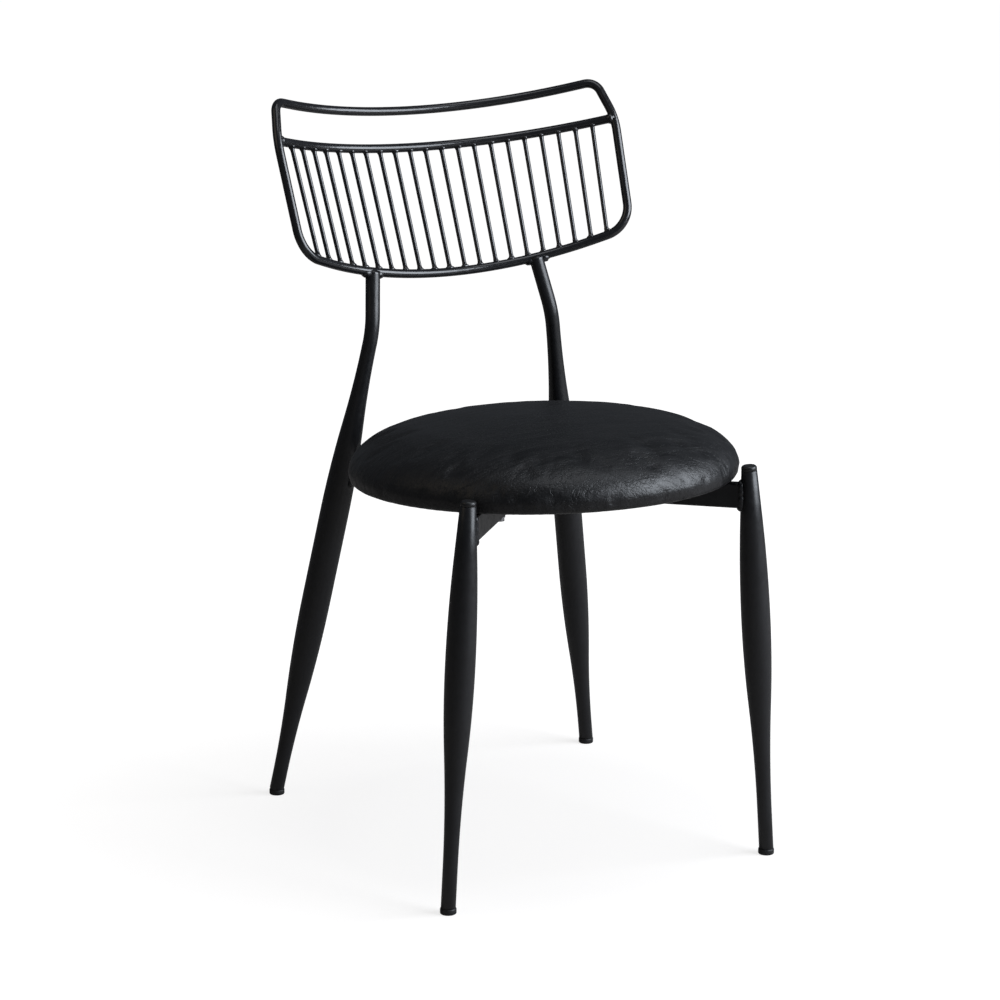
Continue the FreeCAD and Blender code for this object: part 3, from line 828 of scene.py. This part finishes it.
chair_piece("post_welds", both_sides(post_head), wire_coat, "frame")

# %% [markdown]
# The mid wire's ends are let into the outer wire, and a thin collar of weld closes each joint. It
# is a short sweep whose radius swells and falls again.

# %% Collars of the mid wire
def mid_weld():
    """A thin collar of weld where the mid wire meets the outer wire."""
    stations = [(2.0, 5.6), (4.2, 6.3), (5.6, 6.5), (6.8, 6.0), (8.2, 5.3), (9.6, 5.0)]
    points = [mid_rail.at(mid_end - along) for along, _ in stations]
    return swept(points, [radius * MM for _, radius in stations], sides=28)


chair_piece("mid_wire_welds", both_sides(mid_weld), wire_coat, "frame")

# %% [markdown]
# ## Glides
# A glide is pushed up into each foot. Its level disc is a little wider than the tube, with soft
# edges top and bottom, and a short cone joins it to the leaning tube above.

# %% Glides
def glide(foot, way, tube_radius):
    """One glide, with its underside level at z = 0."""
    radius, edge = 8.7 * MM, 1.1 * MM
    centre = foot + way * (GLIDE_HEIGHT / way.z)
    top = 6.2 * MM
    rounded = [polar(radius - edge, edge, edge, angle) for angle in (-60, -30, 0)]
    rounded += [polar(radius - edge, top - edge, edge, angle) for angle in (0, 30, 60, 90)]
    outline = [(0, 0), (radius - edge, 0)] + [(point.x, point.z) for point in rounded]
    outline += [(tube_radius * 0.97, top), (tube_radius * 0.97, top + 1.5 * MM), (0, top + 1.5 * MM)]
    bm = spun(outline, steps=48)
    bmesh.ops.translate(bm, vec=(centre.x, centre.y, 0), verts=bm.verts)
    return bm


for word, *leg in (("front", FRONT_FOOT, front_way, FRONT_TIP * MM),
                   ("rear", REAR_FOOT, rear_way, REAR_TIP * MM)):
    chair_piece(word + "_glides", both_sides(glide, *leg), glide_plastic, "glide", word + "_foot_glides")

# %% [markdown]
# ## The cushion
# The seat is foam on a round board, under a stretched cover of black faux leather. The outline
# is spun into a plump disc with a drawn-in lower edge. Blender's Cloth then blows it up a little
# from inside, as foam presses on a cover, while its underside is held by the staples.

# %% Cushion outline
SEAT_RADIUS = 211.0
LOWER_EDGE, BAND = 13.0, 1.5
SIDE_BEND, SIDE_TURN = 24.0, 38.0
SHOULDER_BEND, SHOULDER_TURN = 76.0, 43.5
DUST_COVER = 0.6


def cushion_outline(inset):
    """Half outline of the cushion from the middle of its underside to the top of its crown, in mm."""
    widest = DUST_COVER + LOWER_EDGE + BAND
    last = SIDE_TURN + SHOULDER_TURN
    points = [(x, DUST_COVER + inset) for x in (0.0, 60.0, 120.0, 160.0, 182.0)]
    low = [polar(SEAT_RADIUS - LOWER_EDGE, DUST_COVER + LOWER_EDGE, LOWER_EDGE - inset, angle)
           for angle in range(-90, 1, 15)]
    side = [polar(SEAT_RADIUS - SIDE_BEND, widest, SIDE_BEND - inset, SIDE_TURN * step / 5)
            for step in range(6)]
    centre = polar(SEAT_RADIUS - SIDE_BEND, widest, SIDE_BEND - SHOULDER_BEND, SIDE_TURN)
    shoulder = [polar(centre.x, centre.z, SHOULDER_BEND - inset, SIDE_TURN + SHOULDER_TURN * step / 10)
                for step in range(1, 11)]
    points += [(point.x, point.z) for point in low + side + shoulder]
    slope = math.radians(90 - last)
    crown = shoulder[-1].x / math.sin(slope)
    crown_centre = shoulder[-1].z - crown * math.cos(slope)
    for step in range(1, 15):
        x = shoulder[-1].x * (1 - step / 14)
        points.append((x, crown_centre + math.sqrt(crown * crown - x * x)))
    return points


def cushion_form(inset, steps=160):
    """The spun cushion in the seat's frame, in metres."""
    return spun([(x * MM, z * MM) for x, z in cushion_outline(inset)], steps=steps)


print("cushion", 2 * SEAT_RADIUS, "mm across and", round(cushion_outline(0)[-1][1], 1), "mm high")

# %% [markdown]
# The cover is stretched by hand over the edge, so it is never a perfect turned form. Faint radial
# folds run from the lower edge up the side, where the leather is gathered under the board, and
# the top carries a few long, shallow waves. They are moved into the points in code, on top of
# what the simulation leaves.

# %% Folds of the cover
def limited(value):
    """A value kept between 0 and 1."""
    return max(0.0, min(1.0, value))


def fold_height(point):
    """How far the cover stands out or in at a point in the seat's frame, in metres."""
    around = math.atan2(point.y, point.x)
    distance = math.hypot(point.x, point.y)
    edge = limited((distance - 0.150) / 0.055)
    low = limited((0.030 - point.z) / 0.022) * edge
    ring = Vector((math.cos(around), math.sin(around), 0))
    gathers = noise.noise(ring * 13.0 + Vector((0, 0, point.z * 14))) * 0.00075 * low
    fine = noise.noise(ring * 36.0 + Vector((4, 2, point.z * 22))) * 0.0004 * low
    waves = noise.noise(Vector((point.x * 9, point.y * 16, 1.7))) * 0.0005 * (1 - 0.6 * edge)
    soft = noise.noise(Vector((point.x * 30, point.y * 34, point.z * 30 + 5))) * 0.00020
    band = -0.0006 * math.exp(-((point.z - 0.0095) / 0.0026) ** 2) * edge
    return gathers + fine + waves + soft + band


# %% [markdown]
# Where the leather turns over the rim it also buckles into short creases. Each one is a row of
# four numbers: its place round the rim, its reach inwards, its width, and how deep it goes. A
# smooth bell curve across it and a soft fade along it keep its ends from showing.

# %% Creases at the rim
CREASE_END = 206


def crease(point, angle, reach, width, depth):
    """A short curved crease that runs inwards from the rim at an angle."""
    around = math.degrees(math.atan2(point.y, point.x)) - angle
    around = (around + 180) % 360 - 180
    distance = math.hypot(point.x, point.y) / MM
    bent = around - (SEAT_RADIUS - distance) * 0.10
    inside = max(0.0, 1 - abs(distance - (CREASE_END - reach / 2)) / (reach / 2))
    across = bent * distance * math.pi / 180 / width
    return depth * MM * math.exp(-across * across) * inside * (3 - 2 * inside) * inside


CREASES = ((-38, 34, 2.2, -0.55), (-33, 40, 2.6, -0.6), (-28, 30, 2.0, -0.45), (-44, 26, 2.0, -0.4),
           (-70, 36, 2.4, -0.4), (-96, 44, 2.6, -0.45), (-104, 52, 3.0, -0.5), (-118, 60, 3.0, -0.45),
           (-128, 46, 2.6, -0.4), (-150, 40, 2.6, -0.4), (12, 40, 3.0, -0.45), (60, 44, 3.0, -0.4),
           (105, 40, 2.6, -0.45), (140, 46, 2.8, -0.4), (178, 38, 2.6, -0.4))
print(len(CREASES), "creases")

# %% [markdown]
# Now the cushion is blown up. The spun form starts 2.4 mm too small and is remeshed into even
# squares, because Cloth stretches even squares best. Its underside is held, no gravity pulls on
# it, and 20 frames are enough. A cap on how far a point may move keeps the result close to the
# drawing, and the simulated mesh is read back, so no Cloth stays on the finished piece.

# %% Blow up the cushion
START_INSET = 2.4
LAST_FRAME = 20
FURTHEST = 3 * MM


def simulated_cushion():
    """Blow the cushion up from inside and return its mesh in the seat's frame."""
    pad = in_scene("cushion_start", mesh_of("cushion_start", cushion_form(START_INSET)))
    remesh = pad.modifiers.new("remesh", "REMESH")
    remesh.mode, remesh.voxel_size = "VOXEL", 5 * MM
    bpy.context.view_layer.update()
    graph = bpy.context.evaluated_depsgraph_get()
    even = bpy.data.meshes.new_from_object(pad.evaluated_get(graph))
    pad.modifiers.clear()
    pad.data = even
    start = [vert.co.copy() for vert in even.vertices]
    held = pad.vertex_groups.new(name="held")
    held.add([vert.index for vert in even.vertices if vert.co.z < 6 * MM], 1.0, "REPLACE")
    cloth = pad.modifiers.new("cloth", "CLOTH")
    cloth.settings.effector_weights.gravity = 0
    cloth.settings.use_pressure = True
    cloth.settings.uniform_pressure_force = 4.0
    cloth.settings.vertex_group_mass = "held"
    cloth.settings.pin_stiffness = 1.0
    cloth.settings.tension_stiffness = cloth.settings.compression_stiffness = 40
    cloth.settings.bending_stiffness = 8
    cloth.collision_settings.use_collision = False
    cloth.point_cache.frame_start, cloth.point_cache.frame_end = 1, LAST_FRAME
    scene = bpy.context.scene
    for number in range(1, LAST_FRAME + 1):
        scene.frame_set(number)
    graph = bpy.context.evaluated_depsgraph_get()
    blown = pad.evaluated_get(graph).to_mesh()
    moved = 0.0
    for vert, home, new in zip(even.vertices, start, blown.vertices):
        step = new.co - home
        if step.length > FURTHEST:
            step = step.normalized() * FURTHEST
        moved = max(moved, step.length)
        vert.co = home + step
    pad.evaluated_get(graph).to_mesh_clear()
    pad.modifiers.clear()
    scene.frame_set(1)
    print("cushion blown up by at most", round(moved / MM, 2), "mm")
    bpy.data.objects.remove(pad)
    return even


# %% [markdown]
# Remeshing and smoothing shrink the form by a few millimetres, so it is brought back to the
# drawn width and height. Folds and creases come last, along each point's normal, and fade out
# towards the underside, where the cushion lies flat on its board.

# %% The finished cushion
def fit_to_outline(bm):
    """Bring the blown and smoothed cushion back to the width and height of its drawing."""
    outline = cushion_outline(0.3)
    wide = max(math.hypot(vert.co.x, vert.co.y) for vert in bm.verts)
    low, high = (find(vert.co.z for vert in bm.verts) for find in (min, max))
    print("blown radius", round(wide / MM, 2), "mm, from", round(low / MM, 2), "to", round(high / MM, 2))
    grow = max(x for x, _ in outline) * MM / wide
    rise = (outline[-1][1] - outline[0][1]) * MM / (high - low)
    bmesh.ops.scale(bm, vec=(grow, grow, rise), verts=bm.verts)
    bmesh.ops.translate(bm, vec=(0, 0, outline[0][1] * MM - low * rise), verts=bm.verts)


def cushion_mesh():
    """The cushion's bmesh in the frame, with folds and creases."""
    bm, mesh = bmesh.new(), simulated_cushion()
    bm.from_mesh(mesh)
    bpy.data.meshes.remove(mesh)
    bmesh.ops.smooth_vert(bm, verts=bm.verts, factor=0.5,
                          use_axis_x=True, use_axis_y=True, use_axis_z=True)
    bmesh.ops.subdivide_edges(bm, edges=bm.edges, cuts=1, use_grid_fill=True, smooth=1.0)
    fit_to_outline(bm)
    bm.normal_update()
    shifts = []
    for vert in bm.verts:
        above = limited((vert.co.z / MM - 1.2) / 4)
        height = fold_height(vert.co)
        height += sum(crease(vert.co, *one) for one in CREASES)
        shifts.append(vert.normal * height * above)
    for vert, shift in zip(bm.verts, shifts):
        vert.co += shift
    bmesh.ops.transform(bm, matrix=seat_frame, verts=bm.verts)
    bm.normal_update()
    return bm


# %% [markdown]
# ## Faux leather
# The cover is printed with a fine pebble grain, which shows most near the rim. On the crown it is
# stretched flat, and soft streaks and thin wrinkles show instead. Cells from a Voronoi pattern
# make the pebbles and a stretched noise makes the streaks. A second noise, folded where it passes
# its middle value, leaves the wrinkles as thin lines.

# %% Leather material
def faux_leather():
    """Black faux leather: streaks and wrinkles on the crown, pebble grain towards the rim."""
    kit = new_kit("black_faux_leather")
    warp = kit.add("ShaderNodeTexNoise", Scale=60, Detail=3)
    kit.join(kit.coordinates, warp.inputs["Vector"])
    bent = kit.add("ShaderNodeVectorMath", operation="MULTIPLY_ADD")
    kit.feed(bent.inputs, (warp.outputs["Color"], (0.004, 0.004, 0.004), kit.coordinates))

    def cells(scale, gap):
        """Pebbles with valleys between them."""
        node = kit.add("ShaderNodeTexVoronoi", Scale=scale, feature="DISTANCE_TO_EDGE")
        kit.join(bent.outputs["Vector"], node.inputs["Vector"])
        return kit.spread(node.outputs["Distance"], 0.0, gap, 0.0, 1.0)

    from_middle = kit.add("ShaderNodeVectorMath", operation="DISTANCE")
    kit.feed(from_middle.inputs, (kit.stretched((1, 1, 0)), (0, (SEAT_Y + DEPTH_SHIFT) * MM, 0)))
    rim = kit.spread(from_middle.outputs["Value"], 0.11, 0.19, 0.15, 1.0)
    fine, coarse = cells(620, 0.22), cells(235, 0.3)
    pebbles = kit.worked("MULTIPLY", coarse, rim)
    streaks = kit.noise(21, detail=5, roughness=0.58, distortion=0.8, vector=kit.stretched((1.0, 4.4, 2.4)))
    lines = kit.noise(13, detail=4, roughness=0.55, distortion=2.4, vector=kit.stretched((1.0, 2.4, 1.2)))
    wrinkles = kit.spread(kit.worked("ABSOLUTE", kit.worked("SUBTRACT", lines, 0.5)), 0.0, 0.02, 0.0, 1.0)
    patches = kit.noise(9, detail=5)
    shade = kit.worked("ADD", kit.worked("MULTIPLY", streaks, 0.7), kit.worked("MULTIPLY", patches, 0.3))
    tone = kit.ramp(shade, 0.36, 0.64, (0.0030, 0.0030, 0.0036), (0.0145, 0.0142, 0.0150))
    tone = kit.mixed(fine, (0.0040, 0.0040, 0.0045, 1), tone)
    shine = kit.spread(streaks, 0.3, 0.7, 0.34, 0.50)
    normal = kit.bump(streaks, 0.0010, strength=0.8)
    normal = kit.bump(wrinkles, 0.00025, strength=0.6, before=normal)
    normal = kit.bump(pebbles, 0.00013, strength=0.8, before=normal)
    normal = kit.bump(fine, 0.00003, strength=0.8, before=normal)
    return kit.shade(Base_Color=tone, Roughness=shine, Normal=normal, Specular_IOR_Level=0.5)


cushion = chair_piece("seat_cushion", cushion_mesh(), faux_leather(), "cover", "seat_cover", "seat_foam")

# %% [markdown]
# ## Hidden pieces
# Board, dust cover, screws, washers and nuts keep their CAD shapes. They still get real finishes,
# because the chair can be turned over.

# %% Materials of the hidden pieces
def birch_plywood():
    """Bare plywood with long grain along the chair's width."""
    kit = new_kit("birch_plywood")
    grain = kit.noise(16, detail=6, distortion=1.4, vector=kit.stretched((1.0, 9.0, 9.0)))
    tone = kit.ramp(grain, 0.3, 0.7, (0.36, 0.22, 0.11), (0.52, 0.35, 0.19))
    return kit.shade(Base_Color=tone, Roughness=0.65, Normal=kit.bump(grain, 0.0002))


def felt_cloth():
    """Thin black cloth of pressed fibres."""
    kit = new_kit("black_dust_cloth")
    fibres = kit.noise(900, detail=6, roughness=0.7)
    tone = kit.ramp(fibres, 0.35, 0.65, (0.006, 0.006, 0.006), (0.022, 0.022, 0.022))
    return kit.shade(Base_Color=tone, Roughness=0.9, Normal=kit.bump(fibres, 0.0002))


def zinc_plate():
    """Bright zinc with slightly cloudy patches."""
    kit = new_kit("zinc_plate")
    tone = kit.ramp(kit.noise(140, detail=4), 0.3, 0.7, (0.42, 0.42, 0.43), (0.56, 0.56, 0.56))
    shine = kit.spread(kit.noise(700, detail=4), 0.3, 0.7, 0.3, 0.42)
    return kit.shade(Base_Color=tone, Roughness=shine, Metallic=1.0)


plywood, dust_cloth, zinc = birch_plywood(), felt_cloth(), zinc_plate()
for node, finish in (("seat_board", plywood), ("seat_dust_cover", dust_cloth), ("seat_screws", zinc),
                     ("screw_washers", zinc), ("flange_nuts", zinc)):
    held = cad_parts[node].data.materials
    held.clear()
    held.append(finish)
print("hidden pieces finished")

# %% [markdown]
# ## Floor, light and background
# The chair stands on a plain pale floor in an even, soft light. The floor is white where the
# camera sees it away from the chair, and near the feet it still shows their soft shadow. It adds
# only a little white to reflections, so that the black chair stays black.

# %% Floor
GLOSSY_WHITE = 0.04


def floor_material():
    """Pale floor: white to the camera away from the chair, with real light and shadow near it."""
    kit = new_kit("pale_floor")
    kit.shade(Base_Color=(0.325, 0.305, 0.29, 1), Roughness=0.9, Specular_IOR_Level=0.0)
    away = kit.add("ShaderNodeVectorMath", operation="LENGTH")
    kit.join(kit.coordinates, away.inputs[0])
    white = kit.spread(away.outputs["Value"], 0.22, 0.75, 0.765, 1.0)
    path = kit.add("ShaderNodeLightPath")
    seen = kit.worked("MULTIPLY", path.outputs["Is Camera Ray"], white)
    strength = kit.worked("MULTIPLY_ADD", path.outputs["Is Glossy Ray"], GLOSSY_WHITE, seen)
    glow = kit.add("ShaderNodeEmission")
    kit.join(strength, glow.inputs["Strength"])
    both = kit.add("ShaderNodeAddShader")
    kit.feed(both.inputs, (kit.shader.outputs[0], glow.outputs[0]))
    output = next(node for node in kit.tree.nodes if node.type == "OUTPUT_MATERIAL")
    kit.join(both.outputs[0], output.inputs["Surface"])
    return kit.owner


plane = bmesh.new()
bmesh.ops.create_grid(plane, x_segments=1, y_segments=1, size=12)
floor = make_piece("floor", plane, floor_material(), smooth=False)
floor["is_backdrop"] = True
print("floor", [round(v, 1) for v in floor.dimensions], "m")

# %% [markdown]
# The world does the same: it is plain white for the camera, and for every other ray it is a weak,
# slightly cool light, with the same small share of white in reflections.

# %% World
sky = Nodes(bpy.data.worlds.new("studio"), shader="Background")
path = sky.add("ShaderNodeLightPath")
seen = path.outputs["Is Camera Ray"]
level = sky.spread(seen, 0.0, 1.0, 0.055, 1.0)
strength = sky.worked("MULTIPLY_ADD", path.outputs["Is Glossy Ray"], GLOSSY_WHITE, level)
color = sky.mixed(seen, (0.80, 0.88, 1.0, 1), (1, 1, 1, 1))
bpy.context.scene.world = sky.shade(Strength=strength, Color=color)
print("world made with", len(sky.tree.nodes), "nodes")

# %% [markdown]
# ## Lamps
# The photograph is lit by one large window of light from the front right, as the highlights on
# the seat and on the legs show. A weak lamp overhead and a weak warm one behind the left side
# keep the rest of the black chair readable without turning it grey.

# %% Lamps
def softbox(name, around, above, distance, width, height, power, tint):
    """A large soft lamp that looks at the seat; around is counted from +X, above from level, in degrees."""
    data = bpy.data.lights.new(name, "AREA")
    data.shape, data.size, data.size_y, data.energy = "RECTANGLE", width, height, power
    data.color = tint
    lamp = in_scene(name, data)
    turn, climb = math.radians(around), math.radians(above)
    away = Vector((math.cos(turn) * math.cos(climb), math.sin(turn) * math.cos(climb), math.sin(climb)))
    lamp.location = Vector((0, 0, 0.45)) + away * distance
    lamp.rotation_euler = (-away).to_track_quat("-Z", "Y").to_euler()
    return lamp


window = softbox("window", -41, 25, 2.5, 2.2, 1.8, 98, (0.86, 0.92, 1.0))
softbox("top", -60, 80, 2.4, 1.2, 1.2, 8, (0.92, 0.95, 1.0))
softbox("back", 175, 40, 2.6, 1.4, 1.4, 3.5, (1.0, 0.86, 0.68))

print("window at", [round(v, 2) for v in window.location])
bpy.context.scene.view_settings.view_transform = "Standard"

# %% Compare the sizes and finish
look_low, look_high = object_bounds()
pairs = zip((*look_low, *look_high), (*cad_low, *cad_high))
print("size change in mm", [round((a - b) / MM, 1) for a, b in pairs])
